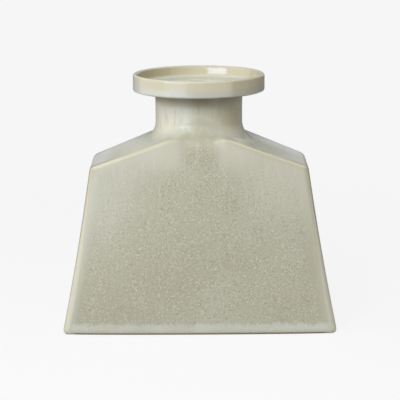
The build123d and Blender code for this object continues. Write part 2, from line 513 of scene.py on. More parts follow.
class VASE_OT_body_form(bpy.types.Operator):
    """Makes the whole glazed skin of body and neck, from which the pieces are cut"""

    bl_idname = "vase.body_form"
    bl_label = "Body form"

    def execute(self, context):
        lines = BodyLines(context.scene)
        columns = skin_columns()
        rings = skin_rings(lines, columns)
        names = [name for name, places in rings]
        clear_selection()
        radius = lines.half_width(0)
        bpy.ops.mesh.primitive_circle_add(vertices=len(columns), radius=radius, enter_editmode=True)
        form = context.object
        form.name = FORM_NAME
        mesh = bmesh.from_edit_mesh(form.data)
        mesh.verts.layers.int.new("ring")
        column = mesh.verts.layers.int.new("column")
        for number, vertex in enumerate(mesh.verts):
            vertex[column] = number
        bmesh.update_edit_mesh(form.data)
        bpy.ops.mesh.select_mode(type="EDGE")
        bpy.ops.mesh.select_all(action="SELECT")
        lay_ring(form, 0, rings[0][1])
        for number, (name, places) in enumerate(rings[1:], 1):
            bpy.ops.mesh.extrude_region_move()
            lay_ring(form, number, places)
        self.fill_recess(form)
        bpy.ops.mesh.select_all(action="SELECT")
        bpy.ops.mesh.normals_make_consistent(inside=False)
        self.round_edges(form, lines, columns, names)
        self.name_faces(form, lines)
        self.soften_crest(form, lines)
        form.data.materials.append(body_glaze(context.scene))
        return {"FINISHED"}

    def fill_recess(self, form):
        """Closes the hollow under the foot."""
        start_selecting("VERT")
        mesh = bmesh.from_edit_mesh(form.data)
        ring = mesh.verts.layers.int["ring"]
        select_where(form, "verts", lambda vertex: vertex[ring] == 0)
        bpy.ops.mesh.edge_face_add()

    def round_edges(self, form, lines, columns, names):
        """Rounds every arris and hollow by its own amount."""
        mesh = bmesh.from_edit_mesh(form.data)
        weight = mesh.edges.layers.float.new("bevel_weight_edge")
        ring = mesh.verts.layers.int["ring"]
        column = mesh.verts.layers.int["column"]
        softness = {}
        for edge in mesh.edges:
            softness[edge] = edge_softness(lines, names, columns, edge, ring, column)
        widest = max(softness.values())
        for edge, reach in softness.items():
            edge[weight] = reach / widest
        bmesh.update_edit_mesh(form.data)
        close_edit()
        apply_modifier(
            form,
            "BEVEL",
            limit_method="WEIGHT",
            width=widest,
            segments=BEVEL_SEGMENTS,
            use_clamp_overlap=False,
        )

    def name_faces(self, form, lines):
        """Marks each face with the number of the piece that it belongs to."""
        edit(form, "FACE")
        mesh = bmesh.from_edit_mesh(form.data)
        owner = mesh.faces.layers.int.new("piece")
        for face in mesh.faces:
            name = piece_of(lines, face.calc_center_median(), face.normal)
            face[owner] = PIECES.index(name)
        bmesh.update_edit_mesh(form.data)
        close_edit()

    def soften_crest(self, form, lines):
        """Lets the arris die away in front of and behind the neck, more and more towards the middle."""
        edit(form, "VERT")
        mesh = bmesh.from_edit_mesh(form.data)
        for vertex in mesh.verts:
            across = abs(vertex.co.x)
            if across < CREST_END and vertex.co.z > lines.body.shoulder_height:
                part = min((CREST_END - across) / (CREST_END - CREST_FULL), 1)
                ease = part * part * (3 - 2 * part)
                vertex.co = vertex.co.lerp(double_curve(lines, vertex.co), ease)
        bmesh.update_edit_mesh(form.data)
        close_edit()


# Pieces cut from the skin

def place_key(place):
    """A place rounded off, to find it again in another mesh."""
    return tuple(round(number / SAME_PLACE) for number in place)


def skin_facing(form):
    """The direction that the whole skin faces at each of its points, led by the larger faces."""
    facing = {}
    for face in form.data.polygons:
        for index in face.vertices:
            key = place_key(form.data.vertices[index].co)
            facing[key] = facing.get(key, Vector()) + face.normal * face.area
    return {key: direction.normalized() for key, direction in facing.items()}


def take_piece(name):
    """Copies one piece's part of the skin, glaze and all, out of the form."""
    form = bpy.data.objects[FORM_NAME]
    pick(form)
    bpy.ops.object.duplicate()
    piece = bpy.context.object
    piece.name = f"glazed_{name}"
    edit(piece, "FACE")
    mesh = bmesh.from_edit_mesh(piece.data)
    owner = mesh.faces.layers.int["piece"]
    number = PIECES.index(name)
    select_where(piece, "faces", lambda face: face[owner] != number)
    bpy.ops.mesh.delete(type="FACE")
    close_edit()
    return piece


SAME_WAY = 0.5


def shade_as_skin(piece):
    """Shades a finished piece as one skin with its neighbours."""
    facing = skin_facing(bpy.data.objects[FORM_NAME])
    mesh = piece.data
    directions = []
    for face in mesh.polygons:
        face.use_smooth = True
        for index in face.vertices:
            known = facing.get(place_key(mesh.vertices[index].co), Vector())
            directions.append(known if known.dot(face.normal) > SAME_WAY else face.normal)
    mesh.normals_split_custom_set(directions)


def hand_over(piece, slot, *nodes):
    """Says what a finished piece rides on and which nodes it stands for; what it is made of, the slot, is not
    used.
    """
    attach(piece, BODY)
    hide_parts(*nodes)


def make_wall(name, thickness):
    """Takes one piece out of the skin, thickens it inwards and hands it over."""
    piece = take_piece(name)
    apply_modifier(piece, "SOLIDIFY", thickness=thickness, offset=-1, use_rim=True)
    shade_as_skin(piece)
    hand_over(piece, "body_glaze", name)


class VASE_OT_base_slab(bpy.types.Operator):
    """Makes the floor slab with its glazed edge and its bare, hollowed foot"""

    bl_idname = "vase.base_slab"
    bl_label = "Base slab"

    def execute(self, context):
        piece = take_piece("base_slab")
        edit(piece, "EDGE")
        select_where(piece, "edges", lambda edge: edge.is_boundary)
        bpy.ops.mesh.edge_face_add()
        close_edit()
        shade_as_skin(piece)
        hand_over(piece, "body_glaze", "base_slab")
        return {"FINISHED"}


LINING_SHARE = 0.9


class VASE_OT_face_walls(bpy.types.Operator):
    """Makes the swollen front and back slabs with the rounded arrises round them"""

    bl_idname = "vase.face_walls"
    bl_label = "Front and back walls"

    def execute(self, context):
        body = context.scene.vase_body
        for name in ("front_wall", "back_wall"):
            make_wall(name, min(body.wall, body.arris_rounding * LINING_SHARE))
        return {"FINISHED"}


class VASE_OT_side_walls(bpy.types.Operator):
    """Makes the left and right side slabs"""

    bl_idname = "vase.side_walls"
    bl_label = "Side walls"

    def execute(self, context):
        for name in ("left_wall", "right_wall"):
            make_wall(name, context.scene.vase_body.wall)
        return {"FINISHED"}


class VASE_OT_shoulders(bpy.types.Operator):
    """Makes the two sloping shoulder slabs"""

    bl_idname = "vase.shoulders"
    bl_label = "Shoulders"

    def execute(self, context):
        for name in ("left_shoulder", "right_shoulder"):
            make_wall(name, context.scene.vase_body.wall)
        return {"FINISHED"}


class VASE_OT_neck(bpy.types.Operator):
    """Makes the round neck with its hollow blend, and clears the form away"""

    bl_idname = "vase.neck"
    bl_label = "Neck"

    def execute(self, context):
        make_wall("neck", context.scene.vase_neck.wall)
        pick(bpy.data.objects[FORM_NAME])
        bpy.ops.object.delete()
        return {"FINISHED"}


# The rim, turned from its section

RIM_STEPS = 144
RIM_SEGMENTS = 6
STRAIGHT = radians(1)
AREA_WEIGHT = 100


class VASE_OT_rim_dish(bpy.types.Operator):
    """Turns the dished rim from its section"""

    bl_idname = "vase.rim_dish"
    bl_label = "Rim dish"

    def execute(self, context):
        rim = context.scene.vase_rim
        neck = context.scene.vase_neck
        low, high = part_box("rim_dish")
        outer = high.x
        inner = outer - rim.lip
        mouth = neck.waist_diameter / 2 - neck.wall
        floor = low.z + rim.floor
        foot = inner - rim.draft
        self.draw_section(outer, foot, mouth, low.z, floor, high.z)
        piece = context.object
        self.lean_wall(piece, Vector((foot, 0, high.z)), inner)
        corners = (
            (outer, low.z, rim.edge_rounding),
            (foot, floor, rim.cove),
            (mouth, floor, rim.mouth_rounding),
            (outer, high.z, rim.lip / 2 - SAME_PLACE),
            (inner, high.z, rim.lip / 2 - SAME_PLACE),
        )
        for x, z, reach in corners:
            self.round_corner(piece, Vector((x, 0, z)), reach)
        self.turn_round(piece)
        close_edit()
        piece.data.materials.append(rim_glaze(context.scene))
        pick(piece)
        bpy.ops.object.shade_smooth()
        apply_modifier(piece, "WEIGHTED_NORMAL", mode="FACE_AREA", weight=AREA_WEIGHT)
        hand_over(piece, "rim_glaze", "rim_dish")
        return {"FINISHED"}

    def draw_section(self, outer, inner, mouth, underside, floor, top):
        """Draws the section as one face: a plane for the floor, its outer end drawn up for the wall."""
        clear_selection()
        width = outer - mouth
        height = floor - underside
        middle = ((outer + mouth) / 2, 0, (floor + underside) / 2)
        bpy.ops.mesh.primitive_plane_add(size=1, location=middle, rotation=(pi / 2, 0, 0))
        piece = bpy.context.object
        piece.name = "glazed_rim_dish"
        piece.scale = (width, height, 1)
        bpy.ops.object.transform_apply(location=True, rotation=True, scale=True)
        edit(piece, "EDGE")
        cut = (inner, 0, floor)
        bpy.ops.mesh.select_all(action="SELECT")
        bpy.ops.mesh.bisect(plane_co=cut, plane_no=(1, 0, 0))
        bpy.ops.mesh.select_all(action="DESELECT")

        def over_wall(edge):
            return all(abs(v.co.z - floor) < SAME_PLACE and v.co.x > inner - SAME_PLACE for v in edge.verts)

        select_where(piece, "edges", over_wall)
        bpy.ops.mesh.extrude_region_move(TRANSFORM_OT_translate={"value": (0, 0, top - floor)})
        bpy.ops.mesh.select_all(action="SELECT")
        bpy.ops.mesh.remove_doubles(threshold=SAME_PLACE)
        bpy.ops.mesh.dissolve_limited(angle_limit=STRAIGHT)

    def pick_corner(self, piece, corner):
        """Selects one corner of the section."""
        start_selecting("VERT")
        select_where(piece, "verts", lambda vertex: (vertex.co - corner).length < SAME_PLACE)

    def lean_wall(self, piece, corner, inner):
        """Moves the wall's inner top corner out, so that the wall is thinner at its lip than at its foot."""
        self.pick_corner(piece, corner)
        bpy.ops.transform.translate(value=(inner - corner.x, 0, 0))

    def round_corner(self, piece, corner, reach):
        """Rounds one corner of the section."""
        self.pick_corner(piece, corner)
        bpy.ops.mesh.bevel(offset=reach, segments=RIM_SEGMENTS, affect="VERTICES", clamp_overlap=False)

    def turn_round(self, piece):
        """Spins the section's outline round the neck's axis."""
        bpy.ops.mesh.select_all(action="SELECT")
        bpy.ops.mesh.delete(type="ONLY_FACE")
        bpy.ops.mesh.select_all(action="SELECT")
        bpy.ops.mesh.spin(steps=RIM_STEPS, angle=2 * pi, center=(0, 0, 0), axis=(0, 0, 1))
        bpy.ops.mesh.select_all(action="SELECT")
        bpy.ops.mesh.remove_doubles(threshold=SAME_PLACE)
        bpy.ops.mesh.normals_make_consistent(inside=False)


class VASE_OT_seam_coils(bpy.types.Operator):
    """Glazes the coils of clay that are pressed into the inside seams"""

    bl_idname = "vase.seam_coils"
    bl_label = "Seam coils"

    def execute(self, context):
        material = inside_glaze(context.scene)
        for name in COILS:
            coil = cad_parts[name]
            coil.data.materials.clear()
            coil.data.materials.append(material)
        return {"FINISHED"}


# Nodes of a material, laid by short calls

class NodeNumber:
    """A number that a material's nodes work out, which adds and multiplies as a plain one does."""

    def __init__(self, sheet, socket):
        self.sheet = sheet
        self.socket = socket

    def __add__(self, other):
        return self.sheet.sum("ADD", self, other)

    def __sub__(self, other):
        return self.sheet.sum("SUBTRACT", self, other)

    def __rsub__(self, other):
        return self.sheet.sum("SUBTRACT", other, self)

    def __mul__(self, other):
        return self.sheet.sum("MULTIPLY", self, other)

    def __truediv__(self, other):
        return self.sheet.sum("DIVIDE", self, other)

    def __abs__(self):
        return self.sheet.sum("ABSOLUTE", self)


class NodeSheet:
    """A material's nodes, laid by short calls that take numbers, node numbers and sockets alike."""

    def __init__(self, name):
        self.material = bpy.data.materials.new(name)
        self.material.use_nodes = True
        self.tree = self.material.node_tree
        self.shader = self.tree.nodes["Principled BSDF"]
        self.place = self.tree.nodes.new("ShaderNodeTexCoord").outputs["Object"]

    def join(self, value, socket):
        """Sends a node number, another socket's value or a plain value to a socket."""
        if isinstance(value, NodeNumber):
            value = value.socket
        if isinstance(value, bpy.types.NodeSocket):
            self.tree.links.new(value, socket)
        elif socket.type == "RGBA":
            socket.default_value = (*value, 1.0)
        else:
            socket.default_value = value

    def axes(self):
        """The place's three coordinates."""
        node = self.tree.nodes.new("ShaderNodeSeparateXYZ")
        self.join(self.place, node.inputs[0])
        return [NodeNumber(self, output) for output in node.outputs]

    def sum(self, operation, *values):
        """One step of arithmetic."""
        node = self.tree.nodes.new("ShaderNodeMath")
        node.operation = operation
        for value, socket in zip(values, node.inputs):
            self.join(value, socket)
        return NodeNumber(self, node.outputs[0])

    def larger(self, first, second):
        """The larger of two numbers."""
        return self.sum("MAXIMUM", first, second)

    def smaller(self, first, second):
        """The smaller of two numbers."""
        return self.sum("MINIMUM", first, second)

    def root(self, value):
        """The square root of a number."""
        return self.sum("SQRT", value)

    def fade(self, value, start, end):
        """A soft step: nothing at the start and all at the end."""
        node = self.tree.nodes.new("ShaderNodeMapRange")
        node.interpolation_type = "SMOOTHSTEP"
        self.join(value, node.inputs["Value"])
        node.inputs["From Min"].default_value = start
        node.inputs["From Max"].default_value = end
        return NodeNumber(self, node.outputs["Result"])

    def range(self, value, low, high):
        """Stretches a share between two levels."""
        node = self.tree.nodes.new("ShaderNodeMapRange")
        self.join(value, node.inputs["Value"])
        node.inputs["To Min"].default_value = low
        node.inputs["To Max"].default_value = high
        return NodeNumber(self, node.outputs["Result"])

    def blend(self, part, first, second):
        """Mixes two colours."""
        node = self.tree.nodes.new("ShaderNodeMix")
        node.data_type = "RGBA"
        self.join(part, node.inputs[0])
        self.join(first, node.inputs[6])
        self.join(second, node.inputs[7])
        return node.outputs[2]

    def layer(self, part, first, second):
        """Mixes two shaders."""
        node = self.tree.nodes.new("ShaderNodeMixShader")
        self.join(part, node.inputs[0])
        self.join(first, node.inputs[1])
        self.join(second, node.inputs[2])
        return node.outputs[0]

    def noise(self, spacing, detail=2.0, roughness=0.5, stretch=(1, 1, 1)):
        """Cloudy noise whose lumps are about so far apart."""
        mapping = self.tree.nodes.new("ShaderNodeMapping")
        self.join(self.place, mapping.inputs["Vector"])
        mapping.inputs["Scale"].default_value = stretch
        node = self.tree.nodes.new("ShaderNodeTexNoise")
        self.join(mapping.outputs[0], node.inputs["Vector"])
        node.inputs["Scale"].default_value = 1 / spacing
        node.inputs["Detail"].default_value = detail
        node.inputs["Roughness"].default_value = roughness
        return NodeNumber(self, node.outputs["Fac"])

    def dots(self, spacing, edge, core):
        """Round dots about so far apart, bright and faint; edge and core are shares of the spacing."""
        node = self.tree.nodes.new("ShaderNodeTexVoronoi")
        self.join(self.place, node.inputs["Vector"])
        node.inputs["Scale"].default_value = 1 / spacing
        split = self.tree.nodes.new("ShaderNodeSeparateColor")
        self.join(node.outputs["Color"], split.inputs[0])
        return self.fade(node.outputs["Distance"], edge, core) * split.outputs[0]

    def bump(self, height, strength, distance):
        """Lets a height show in the light."""
        node = self.tree.nodes.new("ShaderNodeBump")
        self.join(height, node.inputs["Height"])
        node.inputs["Strength"].default_value = strength
        node.inputs["Distance"].default_value = distance
        self.join(node.outputs[0], self.shader.inputs["Normal"])

    def finish(self, base, roughness):
        """Sends colour and roughness to the shader."""
        self.join(base, self.shader.inputs["Base Color"])
        self.join(roughness, self.shader.inputs["Roughness"])
        return self.material


def span(start, end):
    """Two places between which one look gives way to another, written in millimetres."""
    return start * MILLIMETRE, end * MILLIMETRE


# Where a place of the body lies, from the nearest arris, the roof, the side and the middle

ARRIS_DEPTH_FACTOR = 1.35
WANDER_SPACING = 30 * MILLIMETRE
WANDER = span(-1, 1)
NECK_START = span(-2, -10)
ROOF_START = span(3, 0)
FACE_START = span(2, 12)
RIGHT_HALF = span(0, 40)
CORNER_ACROSS = span(20, 70)
CORNER_HIGH = span(80, 150)
RAGGED_SPACING = 6 * MILLIMETRE
RAGGED = span(-5, 5)
FOOT_BAND = span(13, 8)


def edge_distances(sheet, lines, x, y, z):
    """How far a place lies from the nearest arris, below the roof, from the side and behind the face."""
    body = lines.body
    across = abs(x)
    rise = z / body.shoulder_height
    width = body.base_width / 2 - rise * ((body.base_width - body.shoulder_width) / 2)
    hollow = rise * (1 - rise) * (4 * body.side_hollow)
    from_side = width - hollow - across
    under_roof = (lines.apex - across * lines.tangent - z) * cos(body.shoulder_slope)
    middle = rise * ((body.crest_depth - body.base_depth) / 2) + body.base_depth / 2
    bow = rise * ((body.crest_depth - body.shoulder_depth) / 2 - body.base_bow) + body.base_bow
    part = across / width
    behind = middle - bow * part * part - abs(y)
    nearer = sheet.smaller(from_side, under_roof)
    further = sheet.larger(from_side, under_roof)
    edge = sheet.larger(nearer, sheet.smaller(further, behind * ARRIS_DEPTH_FACTOR))
    return edge, under_roof, from_side, behind


class BodyPlaces:
    """Where a place of the body lies, and how far it belongs to neck, roof, faces and foot."""

    def __init__(self, sheet, lines):
        self.x, self.y, self.z = sheet.axes()
        self.across = abs(self.x)
        self.over_crest = self.z - lines.crest
        self.over_neck = self.z - lines.neck_top
        edge, under_roof, from_side, behind = edge_distances(sheet, lines, self.x, self.y, self.z)
        self.edge = edge + sheet.range(sheet.noise(WANDER_SPACING), *WANDER)
        self.under_roof = under_roof
        self.from_side = from_side
        self.behind = behind
        self.on_neck = sheet.fade(under_roof, *NECK_START)
        self.on_roof = sheet.fade(under_roof, *ROOF_START) * (1 - self.on_neck)
        self.on_face = sheet.fade(under_roof, *FACE_START)
        self.rightward = sheet.fade(self.x, *RIGHT_HALF)
        self.in_corner = sheet.fade(self.across, *CORNER_ACROSS) * sheet.fade(self.z, *CORNER_HIGH)
        ragged = sheet.range(sheet.noise(RAGGED_SPACING, detail=3, roughness=0.7), *RAGGED)
        self.at_foot = sheet.fade(self.z + ragged, *FOOT_BAND)


# Clouds on the faces, with painted light and painted shade

CORNER_LEAN = span(-50, 50)
CORNER_LEAN_SHARES = (0.1, 1.0)
CLOUD_SPACING = 90 * MILLIMETRE
CLOUD_LEVELS = (0.42, 0.62)
CLOUD_SHARE = 0.4
PAINTED_SHADE_LOW = span(110, 30)
PAINTED_SHADE_RIGHT = span(0, 100)
PAINTED_SHADE_RIGHT_SHARES = (0.45, 1.0)
BESIDE_CREST = span(10, 24)
BESIDE_CREST_END = span(66, 36)
UPPER_FACE = span(-45, -14)
UNDER_ARRIS = span(0, 3)
CREST_LIGHT_SHARES = (0.5, 0.7)
CREST_MIDDLE = span(24, 10)
CREST_TOP = span(-30, -8)
CREST_SHADE_SHARE = 0.6


def face_clouds(sheet, at, colours):
    """The faces' colour: random paler clouds, painted light at the upper corners, paler beside the crest, and
    painted shade towards the foot, towards the right and in the middle of the crest.
    """
    lean = sheet.range(sheet.fade(at.x, *CORNER_LEAN), *CORNER_LEAN_SHARES)
    cloud = sheet.fade(sheet.noise(CLOUD_SPACING, detail=3), *CLOUD_LEVELS) * CLOUD_SHARE
    # Random paler clouds, and painted light at the upper corners, more on the right.
    pale = sheet.larger(cloud, at.in_corner * lean)
    # Painted shade, darker towards the foot and towards the right.
    shade_low_and_right = sheet.fade(at.z, *PAINTED_SHADE_LOW) * sheet.range(sheet.fade(at.x, *PAINTED_SHADE_RIGHT), *PAINTED_SHADE_RIGHT_SHARES)
    base = sheet.blend(shade_low_and_right, colours.field, colours.shaded_field)
    base = sheet.blend(pale, base, colours.pale_cloud_and_corner_light)
    beside = sheet.fade(at.across, *BESIDE_CREST) * sheet.fade(at.across, *BESIDE_CREST_END)
    upper = sheet.fade(at.over_crest, *UPPER_FACE) * sheet.fade(at.under_roof, *UNDER_ARRIS)
    paler = beside * upper * sheet.range(at.rightward, *CREST_LIGHT_SHARES)
    base = sheet.blend(paler, base, colours.crest_light)
    # Painted shade in the middle of the crest, under the neck.
    crest = sheet.fade(at.across, *CREST_MIDDLE) * sheet.fade(at.over_crest, *CREST_TOP)
    return sheet.blend(crest * CREST_SHADE_SHARE, base, colours.shaded_field)


# Painted light and shade on the neck

NECK_SHADE_END = span(43, 30)
NECK_SHADE_SHARE = 0.6
NECK_LOW_SHADE = span(26, 12)
NECK_LOW_SHADE_SHARE = 0.22
NECK_LIGHT_LEFT = span(-3, -16)
NECK_LIGHT_LOW = span(0, 14)
NECK_LIGHT_SHARE = 0.7


def neck_tones(sheet, at, base, colours):
    """The neck's colour, with painted light on its left and painted shade on its right, deeper low down."""
    base = sheet.blend(at.on_neck, base, colours.neck)
    # Painted shade on the neck's right half.
    thin = at.on_neck * (at.rightward * sheet.fade(at.x, *NECK_SHADE_END))
    base = sheet.blend(thin * NECK_SHADE_SHARE, base, colours.tan)
    # Deeper painted shade low on the neck's right.
    brown = thin * sheet.fade(at.over_crest, *NECK_LOW_SHADE)
    base = sheet.blend(brown * NECK_LOW_SHADE_SHARE, base, colours.shade)
    # Painted highlight on the neck's left.
    thick = at.on_neck * sheet.fade(at.x, *NECK_LIGHT_LEFT) * sheet.fade(at.over_crest, *NECK_LIGHT_LOW)
    return sheet.blend(thick * NECK_LIGHT_SHARE, base, colours.neck_painted_light)


# Runs of glaze down the upper face and the neck, and painted shade under the rim

STREAK_SPACING = 4 * MILLIMETRE
STREAK_STRETCH = (1, 1, 0.12)
STREAK_LEVELS = (0.5, 0.72)
STREAK_HIGH = span(100, 170)
STREAK_SHARE = 0.35
THREAD_SPACING = 3.5 * MILLIMETRE
THREAD_STRETCH = (1, 1, 0.2)
THREAD_LEVELS = (0.52, 0.34)
THREAD_SHARE = 0.45
RIM_SHADOW = span(-14, -3)
RIM_SHADOW_SHARES = (0.92, 0.25)


def glaze_runs(sheet, at, base, colours):
    """Pale streaks on the upper face, threads down the neck and painted shadow under the rim, weaker on the
    right.
    """
    streak = sheet.noise(STREAK_SPACING, roughness=0.6, stretch=STREAK_STRETCH)
    streak = sheet.fade(streak, *STREAK_LEVELS) * sheet.fade(at.z, *STREAK_HIGH)
    base = sheet.blend(streak * STREAK_SHARE, base, colours.speckle)
    thread = sheet.noise(THREAD_SPACING, roughness=0.6, stretch=THREAD_STRETCH)
    thread = sheet.fade(thread, *THREAD_LEVELS) * at.on_neck
    base = sheet.blend(thread * THREAD_SHARE, base, colours.field)
    # Painted shadow of the rim on the top of the neck.
    ring = sheet.fade(at.over_neck, *RIM_SHADOW) * sheet.range(at.rightward, *RIM_SHADOW_SHARES)
    return sheet.blend(ring, base, colours.shade)


# Milky bands beside the edges and round the foot, where they are also painted light

MILK_LOW = span(150, 50)
MILK_LOW_SHARES = (0.2, 0.5)
MILK_RIGHT_SHARES = (1.0, 0.5)
MILK_ROOF_SHARE = 0.3
FOOT_EDGE = span(6, 3)
FOOT_EDGE_SHARES = (1.0, 0.55)
FOOT_PATCH_SPACING = 30 * MILLIMETRE
FOOT_PATCH_LEVELS = (0.4, 0.6)
FOOT_PATCH_SHARES = (0.7, 1.0)
MILK_SHARE = 0.9


def milky_bands(sheet, at, base, colours):
    """Milky glaze where it runs thick: beside the edges, on the shoulders and round the foot, where the band
    is also painted light.
    """
    thick = sheet.fade(at.edge, colours.pool_width, colours.tan_width) * at.on_face
    thick = thick * sheet.range(sheet.fade(at.z, *MILK_LOW), *MILK_LOW_SHARES)
    thick = thick * sheet.range(at.rightward, *MILK_RIGHT_SHARES)
    thick = sheet.larger(thick, at.on_roof * MILK_ROOF_SHARE)
    patch = sheet.fade(sheet.noise(FOOT_PATCH_SPACING), *FOOT_PATCH_LEVELS)
    # Milky glaze along the foot, which is also painted light there.
    band = at.at_foot * sheet.range(sheet.fade(at.z, *FOOT_EDGE), *FOOT_EDGE_SHARES)
    band = band * sheet.range(patch, *FOOT_PATCH_SHARES)
    return sheet.blend(sheet.larger(thick, band) * MILK_SHARE, base, colours.pool)


# Painted shade and light on the right shoulder, and thick glaze at the shoulders' ends

ROOF_SHADE_START = span(36, 50)
ROOF_SHADE_BACK = span(26, -4)
ROOF_SHADE_OUTER = span(60, 80)
ROOF_SHADE_SHARES = (0.85, 0.6)
ROOF_BACK_LIGHT = span(12, 30)
ROOF_BACK_LIGHT_SHARE = 0.8
ROOF_END_TOP = span(6, 0)
ROOF_END_SIDE = span(26, 8)
ROOF_END_FACE = span(4, 14)
ROOF_END_SHARES = (0.9, 0.4)


def shoulder_tones(sheet, at, base, colours):
    """Olive painted shade on the right shoulder's front, milky painted light on its back, thick and pale
    glaze at both outer ends.
    """
    # Painted shade on the front of the right shoulder, where the neck and rim shade it.
    thin = at.on_roof * sheet.fade(at.x, *ROOF_SHADE_START) * sheet.fade(at.y, *ROOF_SHADE_BACK)
    thin = thin * sheet.range(sheet.fade(at.x, *ROOF_SHADE_OUTER), *ROOF_SHADE_SHARES)
    base = sheet.blend(thin, base, colours.right_roof_shade)
    # Painted light on the back of the right shoulder.
    behind = at.on_roof * at.rightward * sheet.fade(at.y, *ROOF_BACK_LIGHT)
    base = sheet.blend(behind * ROOF_BACK_LIGHT_SHARE, base, colours.pool)
    ends = sheet.fade(at.under_roof, *ROOF_END_TOP) * sheet.fade(at.from_side, *ROOF_END_SIDE)
    ends = ends * sheet.fade(at.behind, *ROOF_END_FACE)
    return sheet.blend(ends * sheet.range(at.rightward, *ROOF_END_SHARES), base, colours.end_pale)


# Crystals and the darker points between them

WEDGE_SLOPE = 0.65
WEDGE_SIDE = span(-3, 6)
CALM_TOP = span(-55, -20)
OPEN_FIELD = span(3, 20)
PATCH_SPACING = 14 * MILLIMETRE
PATCH_LEVELS = (0.36, 0.54)
PATCH_SHARES = (0.65, 1.0)
CORNER_CRYSTAL_SHARES = (1.0, 0.4)
ROOF_CRYSTAL_SHARES = (1.0, 0.1)
NECK_CRYSTAL_SHARES = (1.0, 0.6)
CALM_CRYSTAL_SHARES = (1.0, 0.4)
FLECK_SPACING_FACTOR = 1.4
FLECK_LEVELS = (0.5, 0.68)
FLECK_SHARE = 0.6
DOT_SPACING_FACTOR = 2
DOT_SHARES = (0.34, 0.12)
CRYSTAL_SHARE = 0.9
PIT_SPACING_FACTOR = 1.3
PIT_LEVELS = (0.5, 0.34)
PIT_SHARES = (0.85, 0.1)


def open_field(sheet, at, calm):
    """How freely crystals grow: hardly on edges and roof, less at corners, on the neck and in calm glaze."""
    patch = sheet.fade(sheet.noise(PATCH_SPACING), *PATCH_LEVELS)
    field = sheet.fade(at.edge, *OPEN_FIELD)
    limits = (
        (at.in_corner, CORNER_CRYSTAL_SHARES),
        (at.on_roof, ROOF_CRYSTAL_SHARES),
        (at.on_neck, NECK_CRYSTAL_SHARES),
        (calm, CALM_CRYSTAL_SHARES),
        (patch, PATCH_SHARES),
    )
    for limit, shares in limits:
        field = field * sheet.range(limit, *shares)
    return field


def crystals(sheet, at, base, colours):
    """Pale crystals, in a wedge that narrows to the crest, and the darker points between them."""
    beside_wedge = sheet.fade(at.over_crest * WEDGE_SLOPE + at.across, *WEDGE_SIDE)
    calm = beside_wedge * sheet.fade(at.across, *BESIDE_CREST_END) * sheet.fade(at.over_crest, *CALM_TOP)
    field = open_field(sheet, at, calm)
    size = colours.speckle_size
    fleck = sheet.fade(sheet.noise(size * FLECK_SPACING_FACTOR, detail=3, roughness=0.6), *FLECK_LEVELS)
    dot = sheet.dots(size * DOT_SPACING_FACTOR, *DOT_SHARES)
    crystal = sheet.larger(fleck * FLECK_SHARE, dot) * field
    base = sheet.blend(crystal * CRYSTAL_SHARE, base, colours.speckle)
    grain = sheet.fade(sheet.noise(size * PIT_SPACING_FACTOR), *PIT_LEVELS)
    pit = grain * field * (1 - at.at_foot) * sheet.range(calm, *PIT_SHARES)
    return sheet.blend(pit, base, colours.pit), crystal


# Thin glaze on the edges, and painted shade beside them

EDGE_BESIDE_CREST = span(14, 26)
EDGE_LOW = span(-30, -50)
EDGE_OFF_FOOT = span(2, 8)
EDGE_FACE = span(16, 8)
SPREAD_HEIGHT = span(160, 0)
SPREAD_TOP = 0.6
GABLE_SPREAD = 0.5
WARM_SHARES = (0.65, 0.5)
THIN_CORE_SHARE = 0.55
THIN_LOW = span(150, 20)
THIN_LOW_SHARES = (1.0, 0.85)
THIN_RIGHT_SHARES = (1.0, 0.7)
FLANK_START = span(2.4, 3.6)
FLANK_END = span(18, 9)
FLANK_SIDE = span(2.5, 1)
FLANK_SHARE = 0.7


def thin_edges(sheet, at, base, colours):
    """Warm clay and cream where the glaze thins on the edges, wider down the upright ones, and painted shade
    on the sides just behind the upright edges.
    """
    has_edge = sheet.larger(sheet.fade(at.across, *EDGE_BESIDE_CREST), sheet.fade(at.over_crest, *EDGE_LOW))
    near = has_edge * sheet.fade(at.z, *EDGE_OFF_FOOT) * sheet.fade(at.behind, *EDGE_FACE)
    upright_spread = sheet.range(sheet.fade(at.z, *SPREAD_HEIGHT), SPREAD_TOP, colours.spread - 1)
    softer = (1 - at.on_face) * (at.rightward * GABLE_SPREAD)
    spread = at.on_face * upright_spread + (softer + 1)
    warm = sheet.fade(at.edge / sheet.root(spread), colours.tan_width, colours.arris_width) * near
    base = sheet.blend(warm * sheet.range(at.on_face, *WARM_SHARES), base, colours.tan)
    core = colours.arris_width * THIN_CORE_SHARE
    thin = sheet.fade(at.edge / spread, colours.arris_width, core) * near
    thin = thin * sheet.range(sheet.fade(at.z, *THIN_LOW), *THIN_LOW_SHARES)
    base = sheet.blend(thin * sheet.range(softer, *THIN_RIGHT_SHARES), base, colours.arris)
    # Painted shade on the sides, just behind the rounded upright edges.
    flank = sheet.fade(at.behind, *FLANK_START) * sheet.fade(at.behind, *FLANK_END)
    flank = flank * sheet.fade(at.from_side, *FLANK_SIDE)
    return sheet.blend(flank * near * FLANK_SHARE, base, colours.clay)


# The whole glaze of the body

BARE_FOOT = span(3, 1.8)
BARE_SIDE = span(6, 14)
BODY_ROUGHNESS = (0.24, 0.34)
CLAY_ROUGHNESS = 0.8
RIPPLE_SPACING = 12 * MILLIMETRE
RIPPLE_SHARE = 0.6
CRYSTAL_RELIEF_SHARE = 0.15
BODY_BUMP = 0.12
BUMP_DEPTH = 1 * MILLIMETRE


